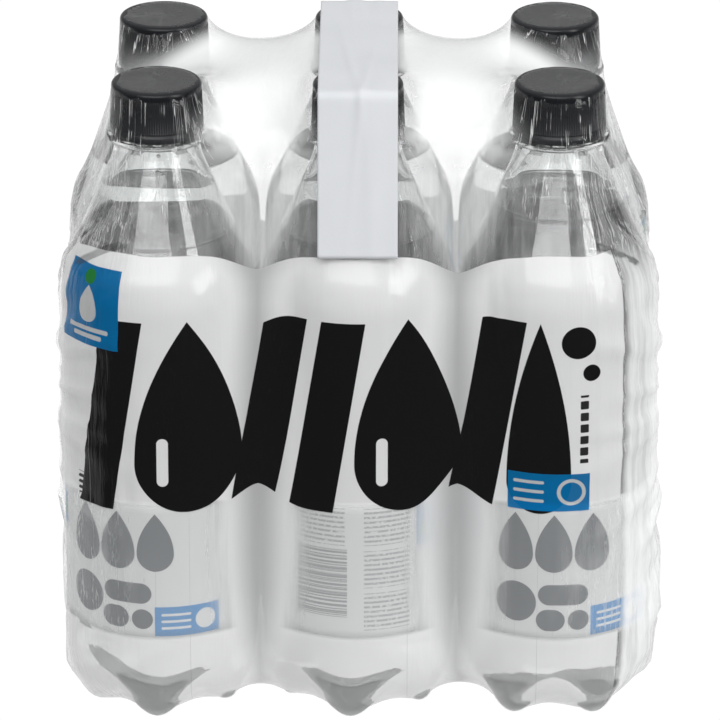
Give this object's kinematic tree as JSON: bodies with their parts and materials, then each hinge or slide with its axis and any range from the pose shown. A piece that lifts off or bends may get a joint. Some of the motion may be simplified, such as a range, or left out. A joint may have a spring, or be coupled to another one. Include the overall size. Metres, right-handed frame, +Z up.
{
  "type": "six pack of water bottles",
  "caption": "Shrink-wrapped block of small clear water bottles in two rows, with an open eye at both ends and a white carrying strip over the middle caps.",
  "frame": {"origin": "on the ground under the middle of the pack", "axes": "+Z up, +X along the row of three bottles to the right, -Y out of the printed front"},
  "size_m": [0.2023, 0.1376, 0.2236],
  "materials": {
    "bottle": "clear blown PET, glossy",
    "water": "clear still water",
    "cap": "dark moulded plastic, fine ribs, satin top",
    "label": "thin printed plastic wrap with slate motifs",
    "film": "shrink film, milky printed field and clear ends, glossy wrinkles",
    "strip": "white matt paper tape with soft creases"
  },
  "bodies": {
    "root": {"bottle_front_left": "bottle", "water_front_left": "water", "cap_front_left": "cap", "label_front_left": "label", "bottle_front_middle": "bottle", "water_front_middle": "water", "cap_front_middle": "cap", "label_front_middle": "label", "bottle_front_right": "bottle", "water_front_right": "water", "cap_front_right": "cap", "label_front_right": "label", "bottle_rear_left": "bottle", "water_rear_left": "water", "cap_rear_left": "cap", "label_rear_left": "label", "bottle_rear_middle": "bottle", "water_rear_middle": "water", "cap_rear_middle": "cap", "label_rear_middle": "label", "bottle_rear_right": "bottle", "water_rear_right": "water", "cap_rear_right": "cap", "label_rear_right": "label", "film": "film", "carrying_strip": "strip"}
  },
  "joints": []
}
